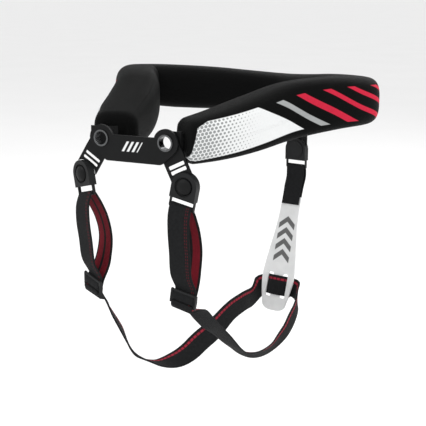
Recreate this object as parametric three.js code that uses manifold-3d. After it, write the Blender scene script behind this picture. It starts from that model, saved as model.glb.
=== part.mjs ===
// A motocross neck brace: a padded collar, open at the front, and its strap harness.
// Sizes are in millimetres and angles in degrees. The wearer looks along -Y, +Z is up and the
// wearer's left is +X. The origin is the middle of the neck opening, level with the underside.
import * as THREE from "three";
import { mergeVertices } from "three/addons/utils/BufferGeometryUtils.js";
import Module from "manifold-3d";

const wasm = await Module();
wasm.setup();

// Clearances
const gap = 0.3;
const holePlay = 0.35;

// Collar
const collarHalfWidth = 140;
const collarHalfLength = 130;
const collarHeight = 52;
const collarThick = 46;
const collarRound = 11;
const endRound = 8;
const frontTrim = 9;

// Front plate
const eyeletPitch = 73;
const plateLift = -3.6;
const plateForward = 10.4;
const plateShift = -3.9;
const plateTurn = 8.7;
const plateThick = 2.2;
const lobeRadius = 13.5;
const plateTop = 4.2;
const plateDepth = 22;
const plateCornerRound = 5;

// Eyelets
const eyeletHole = 6.6;
const eyeletWall = 0.8;
const eyeletFlange = 8.3;
const flangeThick = 0.8;

// End tabs
const tabThick = 1.8;
const tabReach = 15;
const tabHeight = 22;

// Webbing
const webWidth = 24;
const webThick = 1.6;

// Links
const linkThick = 1.8;
const linkLobe = 11.5;
const linkLength = 45.5;
const linkSlotHeight = 3.6;
const linkSlotWidth = 19;
const linkBar = 1.8;
const linkSide = 1.6;
const tongueWidth = 12;
const tongueDepth = 3.4;

// Buckles
const buckleWidth = 27.5;
const buckleThick = 8;
const buckleDrop = 13;
const strapBarRadius = 1.5;
const strapSlotHeight = 7;
const buttonRadius = 8.2;
const buttonDome = 2.6;
const buttonPlay = 0.5;
const recessRadius = 9.9;
const recessDepth = 1.2;
const bossRadius = 10.5;
const bossThick = 1;

// Sliders
const sliderBarRadius = 1.3;
const sliderPitch = 6.4;
const sliderRail = 2;
const sliderLean = 1.7;

// Front strap loops
const loopDrop = 92;
const bellyFront = 5;
const bellyBack = 16;

// Rear plate
const rearShift = 3;
const rearOut = 4;
const rearDrop = 73;
const rearPlateLength = 142;
const rearPlateWidth = 44;
const rearPlateThick = 2;
const rearPlateLean = 17.1;
const rearOverlap = 10;
const rearLoopDrop = 47;
const rearLoopLean = 14;
const threadSlot = 7.6;
const threadSpan = 20;
const threadAt = 109;
const threadPlay = 3;
const threadBelow = 1.5;

// Rear tab
const rearLinkLength = 26;
const rearTabTop = 26;
const rearTabFold = 9;
const rearBar = 2.2;

// Long strap
const strapBow = 30;
const strapSag = 100;

// Collar sections from the front end to the middle of the back: x and y as shares of half
// width and half length, top and bottom as shares of height, wide as a share of thickness.
const collarRows = [
  { x: 0.272, y: -1.0, top: 0.308, bottom: -0.456, wide: 0.91 },
  { x: 0.424, y: -0.72, top: 0.49, bottom: -0.41, wide: 1.07 },
  { x: 0.546, y: -0.448, top: 0.702, bottom: -0.312, wide: 1.13 },
  { x: 0.69, y: -0.182, top: 0.925, bottom: -0.144, wide: 1.06 },
  { x: 0.897, y: 0.082, top: 1.013, bottom: 0.019, wide: 1.0 },
  { x: 1.0, y: 0.333, top: 0.983, bottom: 0.081, wide: 1.0 },
  { x: 0.821, y: 0.556, top: 0.95, bottom: 0.023, wide: 1.0 },
  { x: 0.523, y: 0.76, top: 0.898, bottom: 0.008, wide: 1.0 },
  { x: 0.251, y: 0.931, top: 0.821, bottom: 0.1, wide: 1.0 },
  { x: 0, y: 1.0, top: 0.781, bottom: 0.12, wide: 1.0 },
];

// How each front set hangs: lean of the link, of the buckle and of the slider, outward turn of
// the buckle's face, sideways run of the loop, and how far the tab's foot reaches.
const sides = [
  { name: "left", sign: 1, link: 25.8, body: -12, slider: -12, turn: 9, drift: 1.8, foot: 5 },
  { name: "right", sign: -1, link: 32.5, body: -14, slider: 12, turn: 13, drift: -7, foot: 16 },
];

// Belly of a front loop: drop as a share of its length, front and back as shares of the bellies.
const bellyRows = [
  { drop: 0.1, front: 0.75, back: 0.35 },
  { drop: 0.28, front: 1.0, back: 0.8 },
  { drop: 0.5, front: 0.7, back: 1.0 },
  { drop: 0.74, front: 0.35, back: 0.7 },
];

// Route of the long strap from each slider to the rear plate: along is the share of the way,
// out and down are shares of bow and sag, stand is the turn of the webbing about its route.
const rightRun = [
  { along: 0.047, out: -0.07, down: 0.056, stand: 157 },
  { along: 0.082, out: -0.07, down: 0.227, stand: 155 },
  { along: 0.139, out: -0.04, down: 0.484, stand: 154 },
  { along: 0.174, out: 0.03, down: 0.693, stand: 170 },
  { along: 0.225, out: 0.1, down: 0.807, stand: 186 },
  { along: 0.307, out: 0.15, down: 0.874, stand: 177 },
  { along: 0.383, out: 0.17, down: 0.846, stand: 158 },
  { along: 0.447, out: 0.19, down: 0.772, stand: 146 },
  { along: 0.519, out: 0.19, down: 0.639, stand: 131 },
  { along: 0.593, out: 0.19, down: 0.515, stand: 117 },
  { along: 0.73, out: -0.12, down: 0.325, stand: 104 },
  { along: 0.857, out: -0.47, down: 0.234, stand: 97 },
  { along: 0.955, out: -0.82, down: 0.196, stand: 92 },
];
const leftRun = [
  { along: 0.099, out: 0.07, down: 0.062, stand: 173 },
  { along: 0.163, out: 0.1, down: 0.168, stand: 171 },
  { along: 0.236, out: 0.15, down: 0.291, stand: 171 },
  { along: 0.311, out: 0.2, down: 0.396, stand: 178 },
  { along: 0.448, out: 0.31, down: 0.607, stand: 187 },
  { along: 0.548, out: 0.43, down: 0.691, stand: 165 },
  { along: 0.652, out: 0.56, down: 0.717, stand: 137 },
  { along: 0.736, out: 0.69, down: 0.683, stand: 121 },
  { along: 0.807, out: 0.83, down: 0.591, stand: 107 },
  { along: 0.861, out: 0.95, down: 0.492, stand: 100 },
  { along: 0.914, out: 1.03, down: 0.355, stand: 95 },
  { along: 0.96, out: 1.08, down: 0.2, stand: 92 },
  { along: 0.995, out: 0.95, down: 0.09, stand: 90 },
];

// Outline of the rear plate: down as a share of its length, half as a share of its width.
const rearOutline = [
  { down: 0, half: 0.29 },
  { down: 0.14, half: 0.3 },
  { down: 0.3, half: 0.34 },
  { down: 0.47, half: 0.42 },
  { down: 0.64, half: 0.49 },
  { down: 0.72, half: 0.5 },
  { down: 0.82, half: 0.46 },
  { down: 0.93, half: 0.38 },
];

// General helpers
const radians = THREE.MathUtils.degToRad;
const flat = (x, y) => new THREE.Vector2(x, y);
const point = (x, y, z) => new THREE.Vector3(x, y, z);
const upward = point(0, 0, 1);

function solidOf(geometry) {
  const bare = new THREE.BufferGeometry();
  const source = geometry.index ? geometry.toNonIndexed() : geometry;
  bare.setAttribute("position", source.getAttribute("position"));
  const merged = mergeVertices(bare, 1e-4);
  return new wasm.Manifold(
    new wasm.Mesh({
      numProp: 3,
      vertProperties: merged.attributes.position.array,
      triVerts: new Uint32Array(merged.index.array),
    }),
  );
}

function geometryOf(solid) {
  const mesh = solid.getMesh();
  const geometry = new THREE.BufferGeometry();
  geometry.setAttribute("position", new THREE.BufferAttribute(mesh.vertProperties, 3));
  geometry.setIndex(new THREE.BufferAttribute(mesh.triVerts, 1));
  const split = geometry.toNonIndexed();
  split.computeVertexNormals();
  return split;
}

// A flat outline with holes, from depth low to depth high
function slab(outline, low, high, holes = []) {
  const shape = new THREE.Shape(outline);
  for (const hole of holes) shape.holes.push(new THREE.Path(hole));
  const made = new THREE.ExtrudeGeometry(shape, { depth: high - low, bevelEnabled: false });
  made.translate(0, 0, low);
  return solidOf(made);
}

function circle(x, y, radius, count = 26) {
  const turn = (i) => (2 * Math.PI * (i + 0.5)) / count;
  const at = (_, i) => flat(x + radius * Math.cos(turn(i)), y + radius * Math.sin(turn(i)));
  return Array.from({ length: count }, at);
}

// A rectangle with rounded corners, listed anticlockwise
function roundedBox(x0, y0, x1, y1, radius, steps = 4) {
  const centres = [
    [x1 - radius, y1 - radius],
    [x0 + radius, y1 - radius],
    [x0 + radius, y0 + radius],
    [x1 - radius, y0 + radius],
  ];
  const list = [];
  centres.forEach(([cx, cy], corner) => {
    for (let i = 0; i <= steps; i += 1) {
      const turn = (Math.PI / 2) * (corner + i / steps);
      list.push(flat(cx + radius * Math.cos(turn), cy + radius * Math.sin(turn)));
    }
  });
  return list;
}

function slotHole(x, y, width, height) {
  const [w, h] = [width / 2, height / 2];
  return roundedBox(x - w, y - h, x + w, y + h, Math.min(w, h) / 2, 2);
}

// The smallest convex outline round a list of flat points
function hull(points) {
  const sorted = [...points].sort((a, b) => a.x - b.x || a.y - b.y);
  const turn = (o, a, b) => (a.x - o.x) * (b.y - o.y) - (a.y - o.y) * (b.x - o.x);
  const half = (list) => {
    const chain = [];
    for (const p of list) {
      while (chain.length > 1 && turn(chain.at(-2), chain.at(-1), p) <= 1e-6) chain.pop();
      chain.push(p);
    }
    chain.pop();
    return chain;
  };
  return [...half(sorted), ...half(sorted.reverse())];
}

// A round solid about Z from a profile of radius and height, in either order
function spun(profile) {
  const made = (list) => solidOf(new THREE.LatheGeometry(list, 24).rotateX(Math.PI / 2));
  const solid = made(profile);
  return solid.volume() > 0 ? solid : made([...profile].reverse());
}

// A round bar along X
function bar(width, y, z, radius) {
  const made = slab(circle(0, 0, radius, 10), -width / 2, width / 2);
  return made.rotate([0, 90, 0]).translate([0, y, z]);
}

// A frame whose X runs across a hanging piece, Y up it and Z out of its face
function faceFrame(origin, turn, lean = 0) {
  const yaw = radians(turn);
  const across = point(Math.cos(yaw), Math.sin(yaw), 0);
  const out = point(Math.sin(yaw), -Math.cos(yaw), 0);
  const frame = new THREE.Matrix4().makeBasis(across, upward, out);
  frame.setPosition(origin);
  return frame.multiply(new THREE.Matrix4().makeRotationZ(radians(lean)));
}

const moved = (solid, frame) => solid.transform(frame.elements);
const inFrame = (frame, x, y, z) => point(x, y, z).applyMatrix4(frame);
const axisOf = (frame, index) => new THREE.Vector3().setFromMatrixColumn(frame, index);

// A closed skin over rings of points that all have the same count
function skin(rings, joined) {
  const count = rings[0].length;
  const positions = [];
  const push = (...list) => list.forEach((p) => positions.push(p.x, p.y, p.z));
  const last = joined ? rings.length : rings.length - 1;
  for (let i = 0; i < last; i += 1) {
    const a = rings[i];
    const b = rings[(i + 1) % rings.length];
    for (let k = 0; k < count; k += 1) {
      const n = (k + 1) % count;
      push(a[k], a[n], b[n]);
      push(a[k], b[n], b[k]);
    }
  }
  if (!joined) {
    const first = rings[0];
    const final = rings.at(-1);
    for (let k = 1; k < count - 1; k += 1) {
      push(first[0], first[k + 1], first[k]);
      push(final[0], final[k], final[k + 1]);
    }
  }
  const geometry = new THREE.BufferGeometry();
  geometry.setAttribute("position", new THREE.Float32BufferAttribute(positions, 3));
  const solid = solidOf(geometry);
  if (solid.volume() > 0) return solid;
  const turned = [...rings].reverse();
  return skin(turned, joined);
}

// Webbing along stations of a middle point and the direction of its width
function webbing(stations, joined = false) {
  const count = stations.length;
  const rings = stations.map(({ at, wide }, i) => {
    const before = joined ? stations[(i + count - 1) % count] : stations[Math.max(i - 1, 0)];
    const after = joined ? stations[(i + 1) % count] : stations[Math.min(i + 1, count - 1)];
    const along = after.at.clone().sub(before.at).normalize();
    const across = wide.clone().addScaledVector(along, -wide.dot(along)).normalize();
    const face = new THREE.Vector3().crossVectors(along, across);
    const corner = (a, b) =>
      at
        .clone()
        .addScaledVector(across, (a * webWidth) / 2)
        .addScaledVector(face, (b * webThick) / 2);
    return [corner(-1, -1), corner(1, -1), corner(1, 1), corner(-1, 1)];
  });
  return skin(rings, joined);
}

// Collar
const collarKeys = collarRows.map((row) => ({
  ...row,
  x: row.x * collarHalfWidth,
  y: row.y * collarHalfLength,
}));
const mirrored = collarKeys.slice(0, -1).reverse();
const collarLine = new THREE.CatmullRomCurve3([
  ...collarKeys.map((row) => point(row.x, row.y, 0)),
  ...mirrored.map((row) => point(-row.x, row.y, 0)),
]);
const collarLength = collarLine.getLength();

// The section of the collar at a share of its length
function collarSection(share) {
  const t = collarLine.getUtoTmapping(share);
  const place = t * (collarKeys.length * 2 - 2);
  const all = [...collarKeys, ...mirrored];
  const mix = (key) => {
    const i = Math.min(Math.floor(place), all.length - 2);
    const pick = (n) => all[THREE.MathUtils.clamp(n, 0, all.length - 1)][key];
    const [a, b, c, d] = [pick(i - 1), pick(i), pick(i + 1), pick(i + 2)];
    const f = place - i;
    const cubic = -a + 3 * b - 3 * c + d;
    return b + 0.5 * f * (c - a + f * (2 * a - 5 * b + 4 * c - d + f * cubic));
  };
  const middle = collarLine.getPoint(t);
  const along = collarLine.getTangent(t);
  const outward = point(along.y, -along.x, 0).normalize();
  return {
    middle,
    along,
    outward,
    top: mix("top") * collarHeight,
    bottom: mix("bottom") * collarHeight,
    half: (mix("wide") * collarThick) / 2,
  };
}

function collarRing(share, inset) {
  const part = collarSection(share);
  const round = Math.max(collarRound - inset, 1.5);
  const low = part.bottom + inset;
  const high = part.top - inset;
  const half = part.half - inset;
  const outline = roundedBox(-half, low, half, high, round, 4);
  return outline.map((p) => part.middle.clone().addScaledVector(part.outward, p.x).setZ(p.y));
}

function buildCollar() {
  const shares = [];
  const insets = [];
  const add = (distance, inset) => {
    shares.push(distance / collarLength);
    insets.push(inset);
  };
  const rounding = [0, 0.12, 0.32, 0.62, 1];
  for (const r of rounding) {
    add(frontTrim + r * endRound, endRound * (1 - Math.sqrt(1 - (1 - r) ** 2)));
  }
  const start = frontTrim + endRound;
  const steps = 58;
  for (let i = 1; i < steps; i += 1) {
    add(start + ((collarLength - 2 * start) * i) / steps, 0);
  }
  for (const r of [...rounding].reverse()) {
    const inset = endRound * (1 - Math.sqrt(1 - (1 - r) ** 2));
    add(collarLength - frontTrim - r * endRound, inset);
  }
  return skin(shares.map((share, i) => collarRing(share, insets[i])));
}

// Front plate and what is pinned to it
const plateOrigin = point(plateShift, -collarHalfLength - plateForward, plateLift);
const plateFrame = faceFrame(plateOrigin, plateTurn);
const halfPitch = eyeletPitch / 2;
const eyeletRadius = eyeletHole + eyeletWall;
const pinHole = eyeletRadius + holePlay;
const linkBack = -plateThick - gap - linkThick;
const linkMiddle = -plateThick - gap - linkThick / 2;
const tabFront = linkBack - gap;
const tabBack = tabFront - tabThick;

function buildPlate() {
  const round = plateCornerRound;
  const reach = halfPitch - 2 - round;
  const low = round - plateDepth;
  const corners = [...circle(-reach, low, round), ...circle(reach, low, round)];
  const lobes = [-halfPitch, halfPitch].map((x) => circle(x, 0, lobeRadius, 32));
  const holes = [circle(-halfPitch, 0, pinHole), circle(halfPitch, 0, pinHole)];
  const plate = slab(hull([...lobes.flat(), ...corners]), -plateThick, 0, holes);
  const high = 2 * lobeRadius;
  const above = [
    flat(-halfPitch, plateTop),
    flat(halfPitch, plateTop),
    flat(halfPitch, high),
    flat(-halfPitch, high),
  ];
  let notch = slab(above, -plateThick - 1, 1);
  for (const lobe of lobes) notch = notch.subtract(slab(lobe, -plateThick - 2, 2));
  return moved(plate.subtract(notch), plateFrame);
}

function buildEyelet(sign) {
  const back = tabBack - gap;
  const profile = [
    flat(eyeletHole, back - flangeThick),
    flat(eyeletFlange, back - flangeThick),
    flat(eyeletFlange, back),
    flat(eyeletRadius, back),
    flat(eyeletRadius, gap),
    flat(eyeletFlange, gap),
    flat(eyeletFlange, gap + flangeThick),
    flat(eyeletHole, gap + flangeThick),
  ];
  const place = faceFrame(inFrame(plateFrame, sign * halfPitch, 0, 0), plateTurn);
  return moved(spun([...profile, profile[0]]), place);
}

// The end of the collar that a tab is sewn to
function collarEnd(sign) {
  const share = frontTrim / collarLength;
  return collarSection(sign > 0 ? share : 1 - share);
}

function buildTab(side) {
  const { sign, foot } = side;
  const centre = sign * halfPitch;
  const half = tabHeight / 2;
  const outer = centre + sign * tabReach;
  const corners = [flat(outer, -half), flat(outer, half)];
  const outline = hull([...circle(centre, 0, half, 30), ...corners]);
  const leaf = slab(outline, tabBack, tabFront, [circle(centre, 0, pinHole)]);
  const end = collarEnd(sign);
  const away = end.along.clone().multiplyScalar(-sign * gap);
  const onEnd = (offset) => end.middle.clone().addScaledVector(end.outward, offset).add(away);
  const inTab = (x, z) => inFrame(plateFrame, x, 0, z);
  const start = centre + sign * (eyeletFlange + 2.5);
  const middle = (tabFront + tabBack) / 2;
  const plan = hull([
    inTab(start, middle),
    inTab(outer, middle),
    inTab(start, tabBack),
    inTab(outer, tabBack),
    onEnd(foot),
    onEnd(-3),
  ]);
  const rise = tabHeight / 2 - 2;
  return moved(leaf, plateFrame).add(slab(plan, plateLift - rise, plateLift + rise));
}

// Places of a front set
function placesOf(side) {
  const { sign } = side;
  const eye = inFrame(plateFrame, sign * halfPitch, 0, 0);
  const linkFrame = faceFrame(eye, plateTurn, sign * side.link);
  const button = inFrame(linkFrame, 0, -linkLength, linkMiddle);
  const bodyFrame = faceFrame(button, sign * side.turn, sign * side.body);
  const hangFrame = faceFrame(inFrame(bodyFrame, 0, -barDrop, 0), sign * side.turn);
  const sliderPoint = inFrame(hangFrame, sign * side.drift, -loopDrop, 0);
  const sliderFrame = faceFrame(sliderPoint, sign * side.turn, sign * side.slider);
  return { linkFrame, bodyFrame, hangFrame, sliderFrame };
}
const barDrop = buckleDrop + strapSlotHeight + strapBarRadius;
const headRadius = buckleWidth / 2;
const webSlot = webWidth + 2 * holePlay;

// The lower part of a link, whose foot hugs the round head of the buckle
function linkLeaf(length, upper, holes) {
  const half = headRadius - linkSide;
  const foot = [flat(-half, 4 - length), flat(half, 4 - length)];
  const low = buckleDrop + linkSide + linkSlotHeight / 2 - length;
  const slots = [low, low + linkSlotHeight + linkBar].map((y) =>
    slotHole(0, y, linkSlotWidth, linkSlotHeight),
  );
  const thick = linkThick / 2;
  const leaf = slab(hull([...upper, ...foot]), -thick, thick, [...holes, ...slots]);
  const head = slab(circle(0, -length, headRadius + 2 * gap, 36), -thick - 1, thick + 1);
  const side = tongueWidth / 2;
  const tongueTop = headRadius + 1.2 - length;
  const tongueEnd = headRadius - tongueDepth - length;
  const tongue = roundedBox(-side, tongueEnd, side, tongueTop, 1, 2);
  return leaf.subtract(head).add(slab(tongue, -thick, thick));
}

function buildLink(side) {
  const { linkFrame } = placesOf(side);
  const half = headRadius - linkSide;
  const shoulder = -linkLobe - 5;
  const upper = [...circle(0, 0, linkLobe, 30), flat(-half, shoulder), flat(half, shoulder)];
  const leaf = linkLeaf(linkLength, upper, [circle(0, 0, pinHole)]);
  return moved(leaf.translate([0, 0, linkMiddle]), linkFrame);
}

// The room that a link's tongue takes in the head of its buckle
function pocket(length) {
  const side = tongueWidth / 2 + gap;
  const thick = linkThick / 2 + gap;
  const end = headRadius - tongueDepth - gap - length;
  const shape = roundedBox(-side, end, side, headRadius + 3 - length, 1, 2);
  return slab(shape, -thick, thick);
}

// A buckle body about its middle, with a recess for the button and a bar for the strap
function buckleSolid() {
  const half = headRadius;
  const low = -buckleDrop;
  const foot = -barDrop - strapBarRadius;
  const top = buckleThick / 2;
  const outline = hull([...circle(0, 0, half, 36), flat(-half, low), flat(half, low)]);
  const head = slab(outline, -top, top);
  const rails = slab(roundedBox(-half, foot, half, 0, 1.4, 3), -strapBarRadius, strapBarRadius);
  const wide = webSlot / 2;
  const opening = [flat(-wide, foot - 1), flat(wide, foot - 1), flat(wide, low), flat(-wide, low)];
  const recess = slab(circle(0, 0, recessRadius, 28), top - recessDepth, top + 1);
  const well = slab(circle(0, 0, buttonRadius + buttonPlay, 28), 0, top + 1);
  const boss = slab(circle(0, 0, bossRadius, 28), -top - bossThick, 0.5 - top);
  return head
    .add(rails)
    .subtract(slab(opening, -top, top))
    .subtract(recess)
    .subtract(well)
    .add(boss)
    .add(bar(webSlot + 1, -barDrop, 0, strapBarRadius));
}

function buildBuckle(side) {
  const { linkFrame, bodyFrame } = placesOf(side);
  const room = pocket(linkLength).translate([0, 0, linkMiddle]);
  return moved(buckleSolid(), bodyFrame).subtract(moved(room, linkFrame));
}

// A domed push button that sits in the well of its buckle
function buttonSolid() {
  const steps = 5;
  const base = buckleThick / 2 - recessDepth;
  const profile = [flat(0, gap), flat(buttonRadius, gap), flat(buttonRadius, base)];
  for (let i = 1; i <= steps; i += 1) {
    const turn = (Math.PI / 2) * (i / steps);
    const radius = i === steps ? 0 : buttonRadius * Math.cos(turn);
    profile.push(flat(radius, base + (recessDepth + buttonDome) * Math.sin(turn)));
  }
  return spun(profile);
}

// Front loops: webbing round the buckle's bar and the middle bar of the slider
const offBar = strapBarRadius + gap + webThick / 2;
const offSlider = sliderBarRadius + gap + webThick / 2;

function arc(radius, up, from, to, steps) {
  return Array.from({ length: steps + 1 }, (_, i) => {
    const turn = radians(from + ((to - from) * i) / steps);
    return [radius * Math.sin(turn), up + radius * Math.cos(turn)];
  });
}

function buildLoop(side) {
  const { bodyFrame, hangFrame, sliderFrame } = placesOf(side);
  const shift = (up) => (side.sign * side.drift * up) / -loopDrop;
  const hang = ([out, up]) => inFrame(hangFrame, shift(up), up, out);
  const onBar = ([out, up]) => inFrame(bodyFrame, 0, up - barDrop, out);
  const onSlider = ([out, up]) => inFrame(sliderFrame, 0, up, out);
  const front = bellyRows.map((row) => [offBar + row.front * bellyFront, -row.drop * loopDrop]);
  const back = bellyRows.map((row) => [-offBar - row.back * bellyBack, -row.drop * loopDrop]);
  const behind = sliderLean - offSlider;
  const points = [
    ...arc(offBar, 0, -80, 80, 4).map(onBar),
    ...front.map(hang),
    onSlider([behind - 0.1, sliderPitch + 3]),
    onSlider([behind - 0.1, sliderPitch]),
    ...arc(offSlider + 0.05, 0, 75, 255, 6).map(onSlider),
    onSlider([-offSlider - 0.9, sliderPitch]),
    ...back.reverse().map(hang),
  ];
  const curve = new THREE.CatmullRomCurve3(points, true, "centripetal");
  const high = axisOf(bodyFrame, 0);
  const low = axisOf(sliderFrame, 0);
  const bar = inFrame(bodyFrame, 0, -barDrop, 0);
  const slider = inFrame(sliderFrame, 0, 0, 0);
  const list = curve.getSpacedPoints(76).slice(0, -1);
  const stations = list.map((at) => {
    const share = (bar.z - 6 - at.z) / (bar.z - slider.z - 18);
    const wide = high.clone().lerp(low, THREE.MathUtils.smoothstep(share, 0, 1));
    return { at, wide: wide.normalize() };
  });
  return webbing(stations, true);
}

function buildSlider(side) {
  const { sliderFrame } = placesOf(side);
  const wide = webSlot / 2;
  const outer = wide + sliderRail;
  const reach = sliderPitch + sliderBarRadius;
  const bars = [
    bar(webSlot + 1, sliderPitch, sliderLean, sliderBarRadius),
    bar(webSlot + 1, 0, 0, sliderBarRadius),
    bar(webSlot + 1, -sliderPitch, 0, sliderBarRadius),
  ];
  const railSide = (x0, x1) => {
    const outline = hull([
      ...circle(sliderLean, sliderPitch, sliderBarRadius + 0.3, 12),
      ...circle(0, 0, sliderBarRadius + 0.3, 12),
      ...circle(0, -reach + sliderBarRadius, sliderBarRadius + 0.3, 12),
    ]);
    return slab(outline, -x1, -x0).rotate([0, -90, 0]);
  };
  let solid = railSide(wide, outer).add(railSide(-outer, -wide));
  for (const one of bars) solid = solid.add(one);
  return moved(solid, sliderFrame);
}

// Rear hardware, which faces backwards
const rearY = collarHalfLength + collarThick / 2 + rearOut;
const rearBarFrame = faceFrame(point(rearShift, rearY, -rearDrop), 180);
const rearBodyFrame = faceFrame(point(rearShift, rearY, barDrop - rearDrop), 180);
const rearLinkFrame = faceFrame(
  point(rearShift, rearY, barDrop - rearDrop + rearLinkLength),
  180,
);

// The leaning frame of the rear plate: its top edge is level zero, its front faces the wearer
const loopTurn = radians(rearLoopLean);
const loopEnd = inFrame(
  rearBarFrame,
  0,
  -rearLoopDrop * Math.cos(loopTurn),
  -rearLoopDrop * Math.sin(loopTurn),
);
const plateTilt = radians(rearPlateLean);
const rearPlateFrame = new THREE.Matrix4().makeBasis(
  point(1, 0, 0),
  point(0, Math.sin(plateTilt), Math.cos(plateTilt)),
  point(0, -Math.cos(plateTilt), Math.sin(plateTilt)),
);
rearPlateFrame.setPosition(
  loopEnd.clone().addScaledVector(axisOf(rearPlateFrame, 1), rearOverlap),
);

function buildRearPlate() {
  const half = (row) => row.half * rearPlateWidth;
  const side = new THREE.SplineCurve(
    rearOutline.map((row) => flat(half(row), -row.down * rearPlateLength)),
  ).getPoints(28);
  const foot = rearOutline.at(-1);
  const low = -foot.down * rearPlateLength;
  const depth = rearPlateLength * (1 - foot.down);
  const toe = Array.from({ length: 9 }, (_, i) => {
    const turn = (Math.PI / 2) * ((i + 1) / 9);
    return flat(half(foot) * Math.cos(turn) ** 0.7, low - depth * Math.sin(turn));
  });
  const rightSide = [...side, ...toe.slice(0, -1)];
  const bottom = flat(0, -rearPlateLength);
  const leftSide = [...rightSide].reverse().map((p) => flat(-p.x, p.y));
  const outline = [...rightSide, bottom, ...leftSide].reverse();
  const height = webWidth + 2 * threadPlay;
  const slots = [-1, 1].map((sign) =>
    slotHole((sign * threadSpan) / 2, -threadAt - threadBelow, threadSlot, height),
  );
  return moved(slab(outline, -rearPlateThick / 2, rearPlateThick / 2, slots), rearPlateFrame);
}

function buildRearLoop() {
  const off = rearPlateThick / 2 + gap + webThick / 2;
  const onPlate = (up, out) => inFrame(rearPlateFrame, 0, up, out);
  const onBar = (up, out) => inFrame(rearBarFrame, 0, up, out);
  const points = [
    onPlate(-rearOverlap, off),
    onPlate(-rearOverlap / 2, off),
    onPlate(1, off),
    onPlate(12, off + 0.4),
    onBar(-12, -offBar - 0.4),
    ...arc(offBar, 0, -90, 90, 6).map(([out, up]) => onBar(up, out)),
    onBar(-12, offBar + 0.4),
    onPlate(12, -off - 0.4),
    onPlate(1, -off),
    onPlate(-rearOverlap / 2, -off),
    onPlate(-rearOverlap, -off),
  ];
  const curve = new THREE.CatmullRomCurve3(points, false, "centripetal");
  const wide = point(1, 0, 0);
  return webbing(curve.getSpacedPoints(46).map((at) => ({ at, wide })));
}

// The rear link: a tongue, and one slot whose top bar the rear tab is folded round
function buildRearLink() {
  const half = webSlot / 2 + linkSide;
  const length = rearLinkLength;
  const plate = slab(roundedBox(-half, 4 - length, half, 0, 1.5), -linkThick / 2, linkThick / 2);
  const slot = slotHole(0, -rearBar - linkSlotHeight / 2, webSlot, linkSlotHeight);
  const head = slab(circle(0, -length, headRadius + 2 * gap, 36), -linkThick, linkThick);
  const side = tongueWidth / 2;
  const end = headRadius - tongueDepth - length;
  const tongue = roundedBox(-side, end, side, headRadius + 1.2 - length, 1, 2);
  const leaf = plate.subtract(slab(slot, -linkThick, linkThick)).subtract(head);
  return moved(leaf.add(slab(tongue, -linkThick / 2, linkThick / 2)), rearLinkFrame);
}

function buildRearBuckle() {
  const room = moved(pocket(rearLinkLength), rearLinkFrame);
  return moved(buckleSolid(), rearBodyFrame).subtract(room);
}

// Webbing sewn on the back of the collar and folded round the top bar of the rear link
function buildRearTab() {
  const face = gap + webThick / 2;
  const onCollar = face - rearOut;
  const linkTop = barDrop - rearDrop + rearLinkLength;
  const close = (webThick + gap) / 2;
  const offBottom = linkThick / 2 + face;
  const points = [
    [onCollar, rearTabTop - linkTop],
    [onCollar, -linkTop + 4],
    [onCollar + 0.6, -linkTop - 8],
    [-close - 0.3, 7],
    [-close - 0.6, 3],
    [-offBottom - 0.3, 0],
    [-offBottom * 0.85, -rearBar - face * 0.8],
    [0, -rearBar - face - 0.1],
    [offBottom * 0.85, -rearBar - face * 0.8],
    [offBottom + 0.3, 0],
    [close + 0.6, 3],
    [close + 0.3, 7],
    [close, 7 + rearTabFold],
  ].map(([out, up]) => inFrame(rearLinkFrame, 0, up, out));
  const curve = new THREE.CatmullRomCurve3(points, false, "centripetal");
  const wide = point(1, 0, 0);
  return webbing(curve.getSpacedPoints(46).map((at) => ({ at, wide })));
}

// Long strap
const threadMiddle = inFrame(rearPlateFrame, 0, -threadAt, 0);
const offPlate = rearPlateThick / 2 + gap + webThick / 2;

// The strap through the rear plate: across its middle, down it, and out of its face
function threadPoints() {
  const slot = threadSpan / 2;
  const ramp = threadSlot / 2 - 0.4;
  const rows = [
    [-slot - 13, -2.5, -offPlate - 2.4],
    [-slot - 8, -0.2, -offPlate - 1.1],
    [-slot - ramp, 0, -offPlate - 0.2],
    [-slot + ramp, 0, offPlate + 0.2],
    [0, 0, offPlate + 0.6],
    [slot - ramp, 0, offPlate + 0.2],
    [slot + ramp, 0, -offPlate - 0.2],
    [slot + 8, -0.2, -offPlate - 0.5],
    [slot + 13, -1, -offPlate - 1.2],
  ];
  const level = -threadAt - threadBelow;
  return rows.map(([x, y, z]) => inFrame(rearPlateFrame, x, level + y, z));
}

// The strap's first points at a slider, in front of its last bar and away below it
function sliderPoints(side) {
  const { sliderFrame } = placesOf(side);
  const rows = [
    [0, -sliderPitch + 2, offSlider],
    [0, -sliderPitch - 0.4, offSlider + 0.2],
    [0, -sliderPitch - 3, offSlider - 0.6],
    [0, -sliderPitch - 6, -0.6],
  ];
  return rows.map(([x, y, z]) => inFrame(sliderFrame, x, y, z));
}

function runPoints(side, rows) {
  const start = inFrame(placesOf(side).sliderFrame, 0, -sliderPitch - 1.6, 0);
  return rows.map(({ along, out, down }) => {
    const at = start.clone().lerp(threadMiddle, along);
    at.x += out * strapBow;
    at.z -= down * strapSag;
    return at;
  });
}

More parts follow.
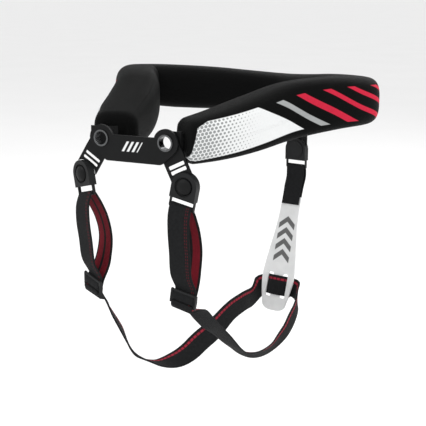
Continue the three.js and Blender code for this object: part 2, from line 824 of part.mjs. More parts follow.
function buildLongStrap() {
  const [left, right] = sides;
  const leftEnd = sliderPoints(left).reverse();
  const parts = [
    { points: sliderPoints(right), wide: axisOf(placesOf(right).sliderFrame, 0).negate() },
    { points: runPoints(right, rightRun), stand: rightRun.map((row) => row.stand) },
    { points: threadPoints(), wide: axisOf(rearPlateFrame, 1) },
    { points: runPoints(left, leftRun).reverse(), stand: leftRun.map((row) => row.stand).reverse() },
    { points: leftEnd, wide: axisOf(placesOf(left).sliderFrame, 0) },
  ];
  const points = parts.flatMap((part) => part.points);
  const widths = [];
  for (const part of parts) {
    part.points.forEach((_, i) => {
      if (part.wide) {
        widths.push(part.wide.clone());
        return;
      }
      const n = widths.length;
      const along = points[n + 1].clone().sub(points[n - 1]).normalize();
      const level = new THREE.Vector3().crossVectors(along, upward).normalize();
      const rise = new THREE.Vector3().crossVectors(level, along);
      const turn = radians(part.stand[i]);
      widths.push(level.multiplyScalar(Math.cos(turn)).addScaledVector(rise, Math.sin(turn)));
    });
  }
  const route = new THREE.CatmullRomCurve3(points, false, "centripetal");
  const spread = new THREE.CatmullRomCurve3(widths, false, "centripetal");
  const steps = (points.length - 1) * 3;
  const stations = Array.from({ length: steps + 1 }, (_, i) => ({
    at: route.getPoint(i / steps),
    wide: spread.getPoint(i / steps).normalize(),
  }));
  return webbing(stations);
}

// Colours and finishes
const finishes = {
  black_fabric: { color: 0x191b1b, roughness: 0.9 },
  black_plastic: { color: 0x1c1d1e, roughness: 0.55 },
  dark_plastic: { color: 0x2b2d2e, roughness: 0.5 },
  eyelet_metal: { color: 0xb9bcbd, roughness: 0.3, metalness: 1 },
  webbing: { color: 0x17181a, roughness: 0.95 },
  pale_plastic: { color: 0xe8e9e8, roughness: 0.4 },
};

const brace = new THREE.Group();
brace.name = "motocross_neck_brace";

function add(name, solid, finish) {
  const material = new THREE.MeshStandardMaterial(finishes[finish]);
  material.name = finish;
  const mesh = new THREE.Mesh(geometryOf(solid), material);
  mesh.name = name;
  brace.add(mesh);
}

add("collar_pad", buildCollar(), "black_fabric");
add("front_plate", buildPlate(), "black_plastic");
for (const side of sides) {
  const { name, sign } = side;
  const { bodyFrame } = placesOf(side);
  add(`tab_${name}`, buildTab(side), "black_plastic");
  add(`eyelet_${name}`, buildEyelet(sign), "eyelet_metal");
  add(`link_${name}`, buildLink(side), "black_plastic");
  add(`buckle_${name}`, buildBuckle(side), "dark_plastic");
  add(`button_${name}`, moved(buttonSolid(), bodyFrame), "black_plastic");
  add(`loop_${name}`, buildLoop(side), "webbing");
  add(`slider_${name}`, buildSlider(side), "dark_plastic");
}
add("long_strap", buildLongStrap(), "webbing");
add("rear_tab", buildRearTab(), "webbing");
add("rear_link", buildRearLink(), "black_plastic");
add("buckle_rear", buildRearBuckle(), "dark_plastic");
add("button_rear", moved(buttonSolid(), rearBodyFrame), "black_plastic");
add("rear_loop", buildRearLoop(), "webbing");
add("rear_plate", buildRearPlate(), "pale_plastic");

export default brace;
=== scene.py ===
import math

import bpy
import numpy as np
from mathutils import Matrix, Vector


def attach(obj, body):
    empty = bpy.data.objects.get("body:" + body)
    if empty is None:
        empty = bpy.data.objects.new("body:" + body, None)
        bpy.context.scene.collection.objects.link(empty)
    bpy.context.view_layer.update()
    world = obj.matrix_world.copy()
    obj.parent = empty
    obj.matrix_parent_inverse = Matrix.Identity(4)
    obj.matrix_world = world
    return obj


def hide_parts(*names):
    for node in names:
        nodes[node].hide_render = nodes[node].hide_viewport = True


# Looks of a motocross neck brace: foam collar with a printed stretch cover, webbing harness,
# snap buckles and a rear plate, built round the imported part. Metres; the wearer looks along -Y.

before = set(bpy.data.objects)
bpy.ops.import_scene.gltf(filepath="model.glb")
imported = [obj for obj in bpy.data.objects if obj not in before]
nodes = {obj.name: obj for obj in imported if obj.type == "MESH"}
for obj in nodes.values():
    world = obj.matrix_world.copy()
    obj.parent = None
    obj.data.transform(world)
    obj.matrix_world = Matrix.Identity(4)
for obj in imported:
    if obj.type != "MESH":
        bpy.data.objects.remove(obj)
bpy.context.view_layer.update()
MM = 0.001

# Reading the solids
MERGE_DIGITS = 6
SIZE_MATCH = 2e-5
SAME_WAY = 0.9999
FINE_STEPS = 12
COLLAR_CENTRE_Y = 0.02

# Webbing
WEB_WIDTH = 24 * MM
WEB_THICK = 1.6 * MM
WEB_STEP = 1.6 * MM
EDGE_STEPS = 4
RIB_PITCH = 1.3 * MM
CROSS_PITCH = 0.9 * MM
RED_FROM = 1.6 * MM
RED_TO = 9.6 * MM
RED_SOFT = 0.8 * MM
STITCH_ROWS = (6.6, 8.6)
STITCH_WIDE = 0.7
STITCH_SOFT = 0.2 * MM
STITCH_PITCH = 3.2 * MM
LINE_FROM = -8.8 * MM
LINE_TO = -6.2 * MM
LINE_SOFT = 0.4 * MM
TICK_PITCH = 5.2 * MM
TICK_LEVEL = -0.55
TICK_DARK = 0.35

# Where the long strap's stripe shows on its outer face
TWIST_X = 0.005
TWIST_Y = -0.008

# Webbing folded round the middle bars of the sliders
FOLD_INSET = 0.0016
FOLD_EDGE = 0.0007
FOLD_SWELL = 0.0007
FOLD_SIDES = 8
FOLD_ROWS = 13

# Collar cover
COVER_SIDES = 72
COVER_STEP = 2.2 * MM
COVER_SQUARE = 3.4
COVER_SWELL = 0.8 * MM
GIRTH_WRAP = 0.75
KNIT_PITCH = 0.8 * MM
SEAM_TURNS = (0.366, 0.63)
SEAM_WIDE = 0.003

# Colours
BLACK = (0.005, 0.005, 0.0055)
BLACK_LIT = (0.018, 0.019, 0.02)
DARK_RED = (0.12, 0.008, 0.014)
DARK_RED_LIT = (0.24, 0.014, 0.026)
LINE_RED = (0.2, 0.012, 0.024)
LINE_RED_LIT = (0.42, 0.03, 0.055)
THREAD = (0.09, 0.008, 0.014)
KNIT = (0.0012, 0.0013, 0.0013)
KNIT_LIT = (0.004, 0.0042, 0.0042)
SEAM_BLACK = (0.002, 0.002, 0.002)
MATT_BLACK = (0.005, 0.0052, 0.0054)
SATIN_BLACK = (0.01, 0.0104, 0.0108)
SHEET = (0.66, 0.67, 0.67)
SHEET_INK = (0.09, 0.09, 0.09)
GUNMETAL = (0.09, 0.092, 0.095)
GUNMETAL_LIT = (0.16, 0.163, 0.166)
FLOOR_PALE = (0.86, 0.86, 0.86)
FLOOR_LIT = (0.9, 0.9, 0.9)

# Print on the cover: stripes as slanted way from the middle of the back and colour
RED = (0.56, 0.02, 0.05)
GREY = (0.36, 0.37, 0.37)
WHITE = (0.76, 0.77, 0.77)
STRIPES = (
    (237.7, 246.2, GREY),
    (210.3, 220.6, RED),
    (184.6, 192.0, RED),
    (161.8, 168.8, RED),
    (142.0, 148.5, RED),
)
STRIPE_SLANT = 1.5
PRINT_LOW = -17.5 * MM
PRINT_HIGH = 20 * MM
STRIPE_HIGH = 18 * MM
PRINT_SOFT = 0.5 * MM
PANEL_FROM = 263.7 * MM
PANEL_CUT_SLOPE = 0.5
PANEL_CUT = 192.5 * MM
PANEL_END_SLOPE = 0.23
PANEL_END = 359 * MM
DOT_PITCH = 3.8 * MM
DOT_GREY = (0.27, 0.28, 0.28)
DOT_END = 288 * MM
DOT_FADE = 72 * MM
DOT_LARGEST = 0.4
DOT_SOFT = 0.06
ROW_GAP = 0.866

# Noise scales and relief
GRAIN_SCALE = 2600
WEAR_SCALE = 70
SCRATCH_SCALE = 900
WEB_FUZZ_SCALE = 420
COVER_FUZZ_SCALE = 500
FOLDS_SCALE = 16
GRAIN_DEPTH = 0.02 * MM
SCRATCH_DEPTH = 0.02 * MM
WEAVE_DEPTH = 0.14 * MM
KNIT_DEPTH = 0.08 * MM

# Bars on the front plate
BAR_LEAN = -0.6
BAR_PITCH = 5.6 * MM
BAR_SHARE = (0.2, 0.68)
BAR_X = (-9 * MM, 10.3 * MM)
BAR_Z = (-15 * MM, -5 * MM)

# Chevrons on the rear plate
CHEVRON_X = 3 * MM
CHEVRON_LEAN = 0.8
CHEVRON_PITCH = 13 * MM
CHEVRON_SHARE = (0.2, 0.72)
CHEVRON_HALF = 11 * MM
CHEVRON_Z = (-183 * MM, -131 * MM)
MARK_SOFT = 0.3 * MM

# Floor and lights: place, aim, size and power
FLOOR_LEVEL = -0.36
FLOOR_HALF = 90
AROUND = 0.95
LIGHTS = {
    "key": ((-0.9, -1.3, 1.5), (0, 0, -0.05), 1.0, 17),
    "side": ((1.6, 0.1, 0.8), (0, 0, -0.05), 0.8, 11),
    "back": ((0.2, 1.5, 1.2), (0, 0, 0), 1.0, 10),
}

# Camera, as the photograph was taken
AZIMUTH = 35.975
ELEVATION = 13.309
CAMERA_AT = (0.6024, -0.8430, 0.1428)
LENS = 81.28
SENSOR = 36


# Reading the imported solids


def vertex_net(node):
    """Merged vertices of a node, the neighbours of each, and its triangles."""
    mesh = nodes[node].data
    raw = np.array([v.co for v in mesh.vertices])
    points, back = np.unique(np.round(raw, MERGE_DIGITS), axis=0, return_inverse=True)
    back = back.reshape(-1)
    mesh.calc_loop_triangles()
    faces = [tuple(int(back[i]) for i in t.vertices) for t in mesh.loop_triangles]
    near = [set() for _ in points]
    for a, b, c in faces:
        near[a] |= {b, c}
        near[b] |= {a, c}
        near[c] |= {a, b}
    return points, near, faces


def walk(near, first):
    """The rings of a tube in order, from its first ring, each a set of vertices."""
    rings = [set(first)]
    touching = set().union(*(near[v] for v in first)) - rings[0]
    if len(touching) > len(first):
        group = {min(touching)}
        for _ in first:
            group |= set().union(*(near[v] for v in group)) & touching
        rings.append(group)
        last = touching - rings[1]
    else:
        rings.append(touching)
        last = set()
    while rings[-1] != last and len(rings) < len(near):
        ahead = set().union(*(near[v] for v in rings[-1])) - rings[-1] - rings[-2]
        if not ahead:
            break
        rings.append(ahead)
    return rings, bool(last)


def band_stations(node):
    """Middle, width direction and face direction of each station of a webbing band."""
    points, near, _ = vertex_net(node)

    def at_distance(v, size):
        for w in sorted(near[v]):
            if abs(np.linalg.norm(points[v] - points[w]) - size) < SIZE_MATCH:
                yield w

    sections = {}
    for v in range(len(points)):
        for thin in at_distance(v, WEB_THICK):
            for wide in at_distance(v, WEB_WIDTH):
                for far in near[thin] & near[wide]:
                    across = points[far] - points[thin]
                    if abs(np.linalg.norm(across) - WEB_WIDTH) < SIZE_MATCH:
                        ring = frozenset((v, thin, wide, far))
                        if len(ring) == 4:
                            sections[ring] = len(set().union(*(near[i] for i in ring)) - ring)
    ends = [ring for ring, count in sections.items() if count == 4]
    pool = ends or list(sections)
    first = max(pool, key=lambda ring: points[list(ring)][:, 2].mean())
    rings, closed = walk(near, first)
    middles, wides, faces = [], [], []
    for ring in rings:
        four = points[sorted(ring)]
        middles.append(four.mean(0))
        gaps = four[1:] - four[0]
        lengths = np.linalg.norm(gaps, axis=1)
        order = np.argsort(lengths)
        face = gaps[order[0]] / lengths[order[0]]
        wide = gaps[order[1]] / lengths[order[1]]
        if wides and wide @ wides[-1] < 0:
            wide = -wide
        if faces and face @ faces[-1] < 0:
            face = -face
        wides.append(wide)
        faces.append(face)
    return np.array(middles), np.array(wides), np.array(faces), closed


# General mesh helpers


def smooth_rows(rows, share, closed):
    """Catmull-Rom reading of rows at shares of their count."""
    rows = np.asarray(rows)
    n = len(rows)
    last = n if closed else n - 1
    place = np.asarray(share) * last
    i = np.minimum(np.floor(place).astype(int), last - 1)
    f = (place - i).reshape((-1,) + (1,) * (rows.ndim - 1))

    def pick(k):
        return rows[k % n] if closed else rows[np.clip(k, 0, n - 1)]

    a, b, c, d = pick(i - 1), pick(i), pick(i + 1), pick(i + 2)
    return b + 0.5 * f * (c - a + f * (2 * a - 5 * b + 4 * c - d + f * (3 * (b - c) + d - a)))


def even_shares(middles, step, closed):
    """Shares of the count of rows that are evenly spaced along their middles."""
    fine = np.linspace(0, 1, FINE_STEPS * len(middles) + 1)
    line = smooth_rows(middles, fine, closed)
    length = np.concatenate([[0], np.cumsum(np.linalg.norm(np.diff(line, axis=0), axis=1))])
    count = max(int(round(length[-1] / step)), 4)
    marks = np.linspace(0, length[-1], count + 1)
    if closed:
        marks = marks[:-1]
    return np.interp(marks, length, fine), marks, length[-1]


def loft(name, rings, closed, values, material):
    """A tube over rings of points, with a named vector of values on each point."""
    rings = np.asarray(rings)
    n, m, _ = rings.shape
    points = rings.reshape(-1, 3)
    faces = []
    for i in range(n if closed else n - 1):
        j = (i + 1) % n
        for k in range(m):
            q = (k + 1) % m
            faces.append((i * m + k, i * m + q, j * m + q, j * m + k))
    if not closed:
        faces.append(tuple(range(m - 1, -1, -1)))
        faces.append(tuple((n - 1) * m + k for k in range(m)))
    mesh = bpy.data.meshes.new(name)
    mesh.from_pydata(points.tolist(), [], faces)
    mesh.update()
    for key, value in values.items():
        layer = mesh.attributes.new(key, "FLOAT_VECTOR", "POINT")
        layer.data.foreach_set("vector", np.asarray(value, np.float32).reshape(-1))
    volume = sum(
        Vector(points[f[0]]).dot(Vector(points[f[1]]).cross(Vector(points[f[2]])))
        + Vector(points[f[0]]).dot(Vector(points[f[2]]).cross(Vector(points[f[3]])))
        for f in faces
        if len(f) == 4
    )
    if volume < 0:
        mesh.flip_normals()
    for polygon in mesh.polygons:
        polygon.use_smooth = True
    made = bpy.data.objects.new(name, mesh)
    bpy.context.scene.collection.objects.link(made)
    mesh.materials.append(material)
    return made


# Materials


class Graph:
    """Short names for building a node material."""

    def __init__(self, name):
        self.material = bpy.data.materials.new(name)
        self.material.use_nodes = True
        self.tree = self.material.node_tree
        self.shader = self.tree.nodes["Principled BSDF"]

    def node(self, kind, **settings):
        made = self.tree.nodes.new(kind)
        for key, value in settings.items():
            setattr(made, key, value)
        return made

    def join(self, source, target):
        self.tree.links.new(source, target)

    def math(self, operation, a, b=0.0, c=None):
        made = self.node("ShaderNodeMath", operation=operation)
        for i, value in enumerate((a, b, c)):
            if value is None:
                continue
            if isinstance(value, (int, float)):
                made.inputs[i].default_value = value
            else:
                self.join(value, made.inputs[i])
        return made.outputs[0]

    def attribute(self, name):
        found = self.node("ShaderNodeAttribute", attribute_name=name)
        split = self.node("ShaderNodeSeparateXYZ")
        self.join(found.outputs["Vector"], split.inputs[0])
        return split.outputs

    def place(self):
        split = self.node("ShaderNodeSeparateXYZ")
        self.join(self.node("ShaderNodeTexCoord").outputs["Object"], split.inputs[0])
        return split.outputs

    def wave(self, value, pitch):
        return self.math("SINE", self.math("MULTIPLY", value, 2 * math.pi / pitch))

    def band(self, value, low, high, soft):
        """One between low and high, fading to zero over soft."""
        rise = self.math("MULTIPLY_ADD", value, 1 / soft, 0.5 - low / soft)
        room = self.math("SUBTRACT", high, value)
        fall = self.math("MULTIPLY_ADD", room, 1 / soft, 0.5)
        both = self.math("MINIMUM", rise, fall)
        clipped = self.math("MAXIMUM", self.math("MINIMUM", both, 1.0), 0.0)
        return clipped

    def mix(self, factor, first, second):
        made = self.node("ShaderNodeMix", data_type="RGBA")
        for socket, value in ((0, factor), (6, first), (7, second)):
            if isinstance(value, (tuple, list)):
                made.inputs[socket].default_value = (*value, 1)
            elif isinstance(value, (int, float)):
                made.inputs[socket].default_value = value
            else:
                self.join(value, made.inputs[socket])
        return made.outputs[2]

    def noise(self, scale, detail=3.0):
        made = self.node("ShaderNodeTexNoise")
        made.inputs["Scale"].default_value = scale
        made.inputs["Detail"].default_value = detail
        place = self.node("ShaderNodeTexCoord").outputs["Object"]
        self.join(place, made.inputs["Vector"])
        return made.outputs[0]

    def bump(self, height, distance, strength=1.0):
        made = self.node("ShaderNodeBump")
        made.inputs["Distance"].default_value = distance
        made.inputs["Strength"].default_value = strength
        self.join(height, made.inputs["Height"])
        self.join(made.outputs[0], self.shader.inputs["Normal"])

    def color(self, value):
        self.join(value, self.shader.inputs["Base Color"])

    def set(self, **values):
        for key, value in values.items():
            self.shader.inputs[key.replace("_", " ")].default_value = value


def plastic(name, base, rough, marks=None, alpha=1.0):
    g = Graph(name)
    grain = g.noise(GRAIN_SCALE, 2.0)
    wear = g.noise(WEAR_SCALE, 4.0)
    light = tuple(min(1.0, c * 1.9 + 0.003) for c in base)
    g.color(g.mix(g.math("MULTIPLY", wear, 0.6), base, light))
    g.join(g.math("MULTIPLY_ADD", wear, 0.16, rough - 0.08), g.shader.inputs["Roughness"])
    if marks:
        place = g.place()
        mask, ink = marks(g, place[0], place[2])
        print_on(g, mask, ink)
    g.set(Specular_IOR_Level=0.12, Alpha=alpha)
    g.bump(grain, GRAIN_DEPTH, 0.5)
    return g.material


def print_on(g, mask, ink):
    """Prints a mask over what colours a material already."""
    link = g.shader.inputs["Base Color"].links[0]
    g.color(g.mix(mask, link.from_socket, ink))


def metal(name):
    g = Graph(name)
    scratch = g.noise(SCRATCH_SCALE, 4.0)
    g.color(g.mix(scratch, GUNMETAL, GUNMETAL_LIT))
    g.join(g.math("MULTIPLY_ADD", scratch, 0.2, 0.16), g.shader.inputs["Roughness"])
    g.set(Metallic=1.0)
    g.bump(scratch, SCRATCH_DEPTH, 0.4)
    return g.material


def weave(name, inner):
    """Webbing: attribute web holds the way along, the way across and the face, 1 or -1."""
    g = Graph(name)
    along, across, face = g.attribute("web")
    height = g.math("MULTIPLY", g.wave(along, RIB_PITCH), g.wave(across, CROSS_PITCH))
    fuzz = g.noise(WEB_FUZZ_SCALE, 3.0)
    shade = g.math("MULTIPLY_ADD", height, 0.25, g.math("MULTIPLY", fuzz, 0.8))
    plain = g.mix(shade, BLACK, BLACK_LIT)
    back = g.math("LESS_THAN", face, 0.0)
    if inner == "red":
        lines = g.band(g.math("ABSOLUTE", across), RED_FROM, RED_TO, RED_SOFT)
        lit = g.math("MULTIPLY", lines, back)
        plain = g.mix(lit, plain, g.mix(shade, DARK_RED, DARK_RED_LIT))
        rows = g.math(
            "MAXIMUM",
            *(g.band(across, c * MM, (c + STITCH_WIDE) * MM, STITCH_SOFT) for c in STITCH_ROWS),
        )
        stitch = g.band(g.wave(along, STITCH_PITCH), -0.2, 2.0, 0.3)
        front = g.math("SUBTRACT", 1.0, back)
        plain = g.mix(g.math("MULTIPLY", g.math("MULTIPLY", rows, stitch), front), plain, THREAD)
    if inner == "stripe":
        line = g.band(across, LINE_FROM, LINE_TO, LINE_SOFT)
        tick = g.math("GREATER_THAN", g.wave(along, TICK_PITCH), TICK_LEVEL)
        tick = g.math("MULTIPLY_ADD", tick, 1 - TICK_DARK, TICK_DARK)
        place = g.place()
        past_x = g.math("GREATER_THAN", place[0], TWIST_X)
        past_y = g.math("GREATER_THAN", place[1], TWIST_Y)
        shown = g.math("MAXIMUM", back, g.math("MULTIPLY", past_x, past_y))
        lit = g.math("MULTIPLY", g.math("MULTIPLY", line, tick), shown)
        plain = g.mix(lit, plain, g.mix(shade, LINE_RED, LINE_RED_LIT))
    g.color(plain)
    g.set(Roughness=0.8, Sheen_Weight=0.015, Sheen_Roughness=0.4, Specular_IOR_Level=0.1)
    g.bump(height, WEAVE_DEPTH, 0.7)
    return g.material


def cover_material():
    """Stretch cover. Attribute cover holds the way from the middle of the back, the way up the
    girth from the middle of the outer face, and the share of the girth."""
    g = Graph("stretch_cover")
    along, girth, turn = g.attribute("cover")
    knit = g.math("MULTIPLY", g.wave(along, KNIT_PITCH), g.wave(girth, KNIT_PITCH))
    fuzz = g.noise(COVER_FUZZ_SCALE, 3.0)
    folds = g.noise(FOLDS_SCALE, 2.0)
    shade = g.math("MULTIPLY_ADD", knit, 0.12, g.math("MULTIPLY", fuzz, 0.5))
    color = g.mix(shade, KNIT, KNIT_LIT)
    side = g.math("ABSOLUTE", along)
    slant = g.math("MULTIPLY_ADD", girth, -STRIPE_SLANT, side)
    level = g.band(girth, PRINT_LOW, PRINT_HIGH, PRINT_SOFT)
    reach = g.band(girth, PRINT_LOW, STRIPE_HIGH, PRINT_SOFT)
    for start, end, ink in STRIPES:
        line = g.math("MULTIPLY", g.band(slant, start * MM, end * MM, PRINT_SOFT), reach)
        color = g.mix(line, color, g.mix(fuzz, ink, tuple(0.8 * c for c in ink)))
    corner = g.math("MULTIPLY_ADD", side, PANEL_CUT_SLOPE, girth)
    panel = g.math("MULTIPLY", g.band(slant, PANEL_FROM, 1.0, PRINT_SOFT), level)
    panel = g.math("MULTIPLY", panel, g.band(corner, -1.0, PANEL_CUT, PRINT_SOFT))
    front = g.math("MULTIPLY_ADD", girth, PANEL_END_SLOPE, side)
    panel = g.math("MULTIPLY", panel, g.band(front, -1.0, PANEL_END, PRINT_SOFT))
    paper = g.mix(fuzz, WHITE, tuple(0.9 * c for c in WHITE))
    color = g.mix(panel, color, g.mix(dot_field(g, side, girth), paper, DOT_GREY))
    seams = (g.band(turn, at, at + SEAM_WIDE, SEAM_WIDE) for at in SEAM_TURNS)
    seam = g.math("MAXIMUM", *seams)
    g.color(g.mix(g.math("MULTIPLY", seam, 0.8), color, SEAM_BLACK))
    g.set(Roughness=0.6, Sheen_Weight=0.002, Sheen_Roughness=0.35, Specular_IOR_Level=0.05)
    height = g.math("MULTIPLY_ADD", folds, 6.0, knit)
    height = g.math("MULTIPLY_ADD", seam, -9.0, height)
    g.bump(height, KNIT_DEPTH, 0.8)
    return g.material


def dot_field(g, side, girth):
    """Round dots in offset rows that shrink with the way from the front end."""
    row = g.math("DIVIDE", girth, DOT_PITCH * ROW_GAP)
    number = g.math("FLOOR", row)
    column = g.math("MULTIPLY_ADD", number, 0.5, g.math("DIVIDE", side, DOT_PITCH))
    x = g.math("SUBTRACT", g.math("FRACT", column), 0.5)
    y = g.math("MULTIPLY", g.math("SUBTRACT", g.math("FRACT", row), 0.5), ROW_GAP)
    far = g.math("SQRT", g.math("ADD", g.math("MULTIPLY", x, x), g.math("MULTIPLY", y, y)))
    size = g.math("MULTIPLY_ADD", side, 0.5 / DOT_FADE, -0.5 * DOT_END / DOT_FADE)
    return g.band(far, -1.0, g.math("MINIMUM", size, DOT_LARGEST), DOT_SOFT)


def plate_bars(g, x, z):
    """Slanted bars in the middle of the front plate."""
    slide = g.math("MULTIPLY_ADD", z, BAR_LEAN, x)
    bars = g.math("FRACT", g.math("DIVIDE", g.math("ADD", slide, 1.0), BAR_PITCH))
    mask = g.band(bars, *BAR_SHARE, 0.08)
    mask = g.math("MULTIPLY", mask, g.band(slide, *BAR_X, MARK_SOFT))
    return g.math("MULTIPLY", mask, g.band(z, *BAR_Z, MARK_SOFT)), WHITE


def sheet_chevrons(g, x, z):
    """Dark chevrons down the upper part of the rear plate."""
    across = g.math("ABSOLUTE", g.math("SUBTRACT", x, CHEVRON_X))
    fall = g.math("MULTIPLY_ADD", across, CHEVRON_LEAN, z)
    rows = g.math("FRACT", g.math("DIVIDE", g.math("ADD", fall, 1.0), CHEVRON_PITCH))
    mask = g.band(rows, *CHEVRON_SHARE, 0.04)
    mask = g.math("MULTIPLY", mask, g.band(across, -1.0, CHEVRON_HALF, MARK_SOFT))
    return g.math("MULTIPLY", mask, g.band(fall, *CHEVRON_Z, MARK_SOFT)), SHEET_INK


BLACK_PLASTIC = plastic("matt_black_plastic", MATT_BLACK, 0.5)
DARK_PLASTIC = plastic("satin_black_plastic", SATIN_BLACK, 0.42)
PLATE = plastic("printed_plate", MATT_BLACK, 0.5, marks=plate_bars)
PALE = plastic("pale_sheet", SHEET, 0.3, marks=sheet_chevrons, alpha=0.8)
METAL = metal("plated_eyelet")
WEB_RED = weave("webbing_red_inside", "red")
WEB_STRIPE = weave("webbing_stripe_inside", "stripe")
WEB_PLAIN = weave("webbing_plain", "plain")
COVER = cover_material()


# Webbing bands


def band_ring(count=5):
    """Cross-section of webbing: across, up, and the face from 1 to -1."""
    edge = WEB_THICK / 2
    reach = WEB_WIDTH / 2 - edge
    rows = []
    flat = np.linspace(reach, -reach, 2 * count)
    for x in flat:
        rows.append((x, edge, 1.0))
    for i in range(1, EDGE_STEPS):
        turn = math.pi * i / EDGE_STEPS
        rows.append((-reach - edge * math.sin(turn), edge * math.cos(turn), math.cos(turn)))
    for x in flat[::-1]:
        rows.append((x, -edge, -1.0))
    for i in range(1, EDGE_STEPS):
        turn = math.pi * i / EDGE_STEPS
        rows.append((reach + edge * math.sin(turn), -edge * math.cos(turn), -math.cos(turn)))
    return np.array(rows)


def band(node, name, material, outward):
    """Webbing in place of a node. outward(middles, faces) is positive where faces point out."""
    middles, wides, faces, closed = band_stations(node)
    if outward(middles, faces) < 0:
        faces = -faces
    share, marks, _ = even_shares(middles, WEB_STEP, closed)
    at = smooth_rows(middles, share, closed)
    wide = smooth_rows(wides, share, closed)
    wide /= np.linalg.norm(wide, axis=1)[:, None]
    face = smooth_rows(faces, share, closed)
    face -= (face * wide).sum(1)[:, None] * wide
    face /= np.linalg.norm(face, axis=1)[:, None]
    ring = band_ring()
    rings = (
        at[:, None]
        + wide[:, None] * ring[None, :, 0, None]
        + face[:, None] * ring[None, :, 1, None]
    )
    values = np.zeros(rings.shape)
    values[..., 0] = marks[:, None]
    values[..., 1] = ring[None, :, 0]
    values[..., 2] = ring[None, :, 2]
    made = loft(name, rings, closed, {"web": values}, material)
    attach(made, "root")
    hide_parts(node)
    return made


def from_middle(middles, faces):
    centre = middles.mean(0)
    return ((middles - centre) * faces).sum()


band("loop_left", "loop_left_webbing", WEB_RED, from_middle)
band("loop_right", "loop_right_webbing", WEB_RED, from_middle)
band("long_strap", "long_strap_webbing", WEB_STRIPE, from_middle)
band("rear_tab", "rear_tab_webbing", WEB_PLAIN, lambda m, f: f[0, 1])
band("rear_loop", "rear_loop_webbing", WEB_PLAIN, from_middle)



def slider_webbing(side):
    """Webbing folded round the middle bar of a slider, inside its frame."""
    slider = nodes[f"slider_{side}"]
    points = np.array([slider.matrix_world @ v.co for v in slider.data.vertices])
    _, _, axes = np.linalg.svd(points - points.mean(0), full_matrices=False)
    flat = points @ axes.T
    centre = (flat.max(0) + flat.min(0)) / 2
    half = (flat.max(0) - flat.min(0)) / 2
    wide = half[0] - FOLD_INSET
    tall = half[1] - FOLD_INSET
    there = np.linspace(-wide, wide, FOLD_SIDES)
    across = np.concatenate([there, there[::-1]])
    face = np.repeat([1.0, -1.0], FOLD_SIDES)
    rows = np.linspace(-1, 1, FOLD_ROWS)
    rings = np.zeros((FOLD_ROWS, 2 * FOLD_SIDES, 3))
    values = np.zeros(rings.shape)
    for row, share in enumerate(rows):
        swell = FOLD_EDGE + (half[2] + FOLD_SWELL - FOLD_EDGE) * math.cos(share * math.pi / 2)
        spots = np.column_stack([across, np.full(len(across), share * tall), face * swell])
        rings[row] = (centre + spots) @ axes
        values[row] = np.column_stack([np.full(len(across), share * tall), across, face])
    made = loft(f"slider_{side}_webbing", rings, False, {"web": values}, WEB_PLAIN)
    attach(made, "root")


slider_webbing("left")
slider_webbing("right")


# Collar cover


def collar_sections():
    """Middle, outward direction, half width, low and high of each section of the collar."""
    points, near, faces = vertex_net("collar_pad")
    apex = max(range(len(near)), key=lambda v: len(near[v]))
    fan = [f for f in faces if apex in f]
    normals = []
    for a, b, c in fan:
        normal = np.cross(points[b] - points[a], points[c] - points[a])
        normals.append(normal / np.linalg.norm(normal))
    normals = np.array(normals)
    agree = (normals @ normals.T > SAME_WAY).sum(1)
    chosen = normals @ normals[agree.argmax()] > SAME_WAY
    cap = set().union(*(fan[i] for i in np.flatnonzero(chosen)))
    rings, _ = walk(near, cap)
    middles = np.array([points[sorted(r)].mean(0) for r in rings])
    along = np.gradient(middles[:, :2], axis=0)
    along /= np.linalg.norm(along, axis=1)[:, None]
    rows = []
    for ring, middle, way in zip(rings, middles, along):
        four = points[sorted(ring)]
        out = np.array([way[1], -way[0]])
        if out @ (middle[:2] - np.array([0, COLLAR_CENTRE_Y])) < 0:
            out = -out
        reach = (four[:, :2] - middle[:2]) @ out
        shift = (reach.max() + reach.min()) / 2
        half = (reach.max() - reach.min()) / 2
        at = middle[:2] + out * shift
        rows.append((*at, *out, half, four[:, 2].min(), four[:, 2].max()))
    rows = np.array(rows)
    if rows[0, 0] < rows[-1, 0]:
        rows = rows[::-1]
    return rows


def build_cover():
    rows = collar_sections()
    plan = np.column_stack([rows[:, :2], np.zeros(len(rows))])
    share, marks, length = even_shares(plan, COVER_STEP, False)
    rows = smooth_rows(rows, share, False)
    turn = np.linspace(0, 2 * math.pi, COVER_SIDES, endpoint=False)
    power = 2 / COVER_SQUARE
    x = np.sign(np.cos(turn)) * np.abs(np.cos(turn)) ** power
    z = np.sign(np.sin(turn)) * np.abs(np.sin(turn)) ** power
    rings, girths = [], []
    for px, py, ox, oy, half, low, high in rows:
        norm = math.hypot(ox, oy)
        middle = np.array([px, py, (low + high) / 2])
        out = np.array([ox / norm, oy / norm, 0])
        width = half + COVER_SWELL
        tall = (high - low) / 2 + COVER_SWELL
        ring = middle + np.outer(x * width, out)
        ring[:, 2] += z * tall
        rings.append(ring)
        flat = np.column_stack([x * width, z * tall])
        steps = np.linalg.norm(np.roll(flat, -1, axis=0) - flat, axis=1)
        girth = np.concatenate([[0], np.cumsum(steps[:-1])])
        total = steps.sum()
        girth = np.where(girth > total * GIRTH_WRAP, girth - total, girth)
        girths.append(girth)
    rings = np.array(rings)
    values = np.zeros(rings.shape)
    values[..., 0] = (marks - length / 2)[:, None]
    values[..., 1] = np.array(girths)
    values[..., 2] = turn[None, :] / (2 * math.pi)
    made = loft("collar_cover", rings, False, {"cover": values}, COVER)
    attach(made, "root")
    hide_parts("collar_pad")
    return made


build_cover()


# Hard pieces


def finish_hard(node, material, bevel):
    piece = nodes[node]
    piece.data.materials.clear()
    piece.data.materials.append(material)
    edge = piece.modifiers.new("soft_edges", "BEVEL")
    edge.width = bevel * MM
    edge.segments = 2
    edge.limit_method = "ANGLE"
    edge.angle_limit = math.radians(30)
    edge.harden_normals = True
    for polygon in piece.data.polygons:
        polygon.use_smooth = True


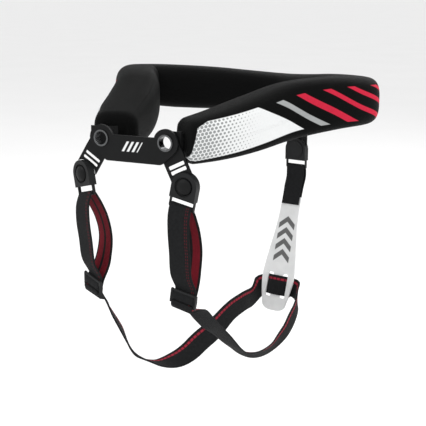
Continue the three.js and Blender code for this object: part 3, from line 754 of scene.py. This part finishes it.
for kind, rounding, names in (
    (BLACK_PLASTIC, 0.3, ("tab_left", "tab_right", "link_left", "link_right", "rear_link")),
    (BLACK_PLASTIC, 0.3, ("button_left", "button_right", "button_rear")),
    (DARK_PLASTIC, 0.3, ("slider_left", "slider_right")),
    (DARK_PLASTIC, 0.4, ("buckle_left", "buckle_right", "buckle_rear")),
    (METAL, 0.2, ("eyelet_left", "eyelet_right")),
    (PLATE, 0.5, ("front_plate",)),
    (PALE, 0.4, ("rear_plate",)),
):
    for node_name in names:
        finish_hard(node_name, kind, rounding)


# Floor, light and camera


def area_light(name, at, aim, size, power):
    data = bpy.data.lights.new(name, "AREA")
    data.shape = "DISK"
    data.size = size
    data.energy = power
    lamp = bpy.data.objects.new(name, data)
    lamp.location = at
    lamp.rotation_mode = "QUATERNION"
    lamp.rotation_quaternion = (Vector(aim) - Vector(at)).to_track_quat("-Z", "Y")
    bpy.context.scene.collection.objects.link(lamp)


mesh = bpy.data.meshes.new("floor")
corners = ((-1, -1), (1, -1), (1, 1), (-1, 1))
mesh.from_pydata([(x * FLOOR_HALF, y * FLOOR_HALF, 0) for x, y in corners], [], [(0, 1, 2, 3)])
floor = bpy.data.objects.new("floor", mesh)
floor.location = (0, 0, FLOOR_LEVEL)
ground = Graph("pale_floor")
ground.color(ground.mix(ground.noise(3), FLOOR_PALE, FLOOR_LIT))
ground.set(Roughness=0.9)
mesh.materials.append(ground.material)
bpy.context.scene.collection.objects.link(floor)

world = bpy.data.worlds.new("studio")
bpy.context.scene.world = world
world.use_nodes = True
world.node_tree.nodes["Background"].inputs[0].default_value = (1, 1, 1, 1)
world.node_tree.nodes["Background"].inputs[1].default_value = AROUND
for lamp_name, settings in LIGHTS.items():
    area_light(lamp_name, *settings)

camera_data = bpy.data.cameras.new("camera")
camera_data.lens = LENS
camera_data.sensor_width = SENSOR
camera = bpy.data.objects.new("camera", camera_data)
camera.location = CAMERA_AT
azimuth, elevation = math.radians(AZIMUTH), math.radians(ELEVATION)
back = Vector(
    (
        math.sin(azimuth) * math.cos(elevation),
        -math.cos(azimuth) * math.cos(elevation),
        math.sin(elevation),
    )
)
camera.rotation_mode = "QUATERNION"
camera.rotation_quaternion = (-back).to_track_quat("-Z", "Y")
bpy.context.scene.collection.objects.link(camera)
bpy.context.scene.camera = camera
bpy.context.scene.view_settings.view_transform = "Standard"
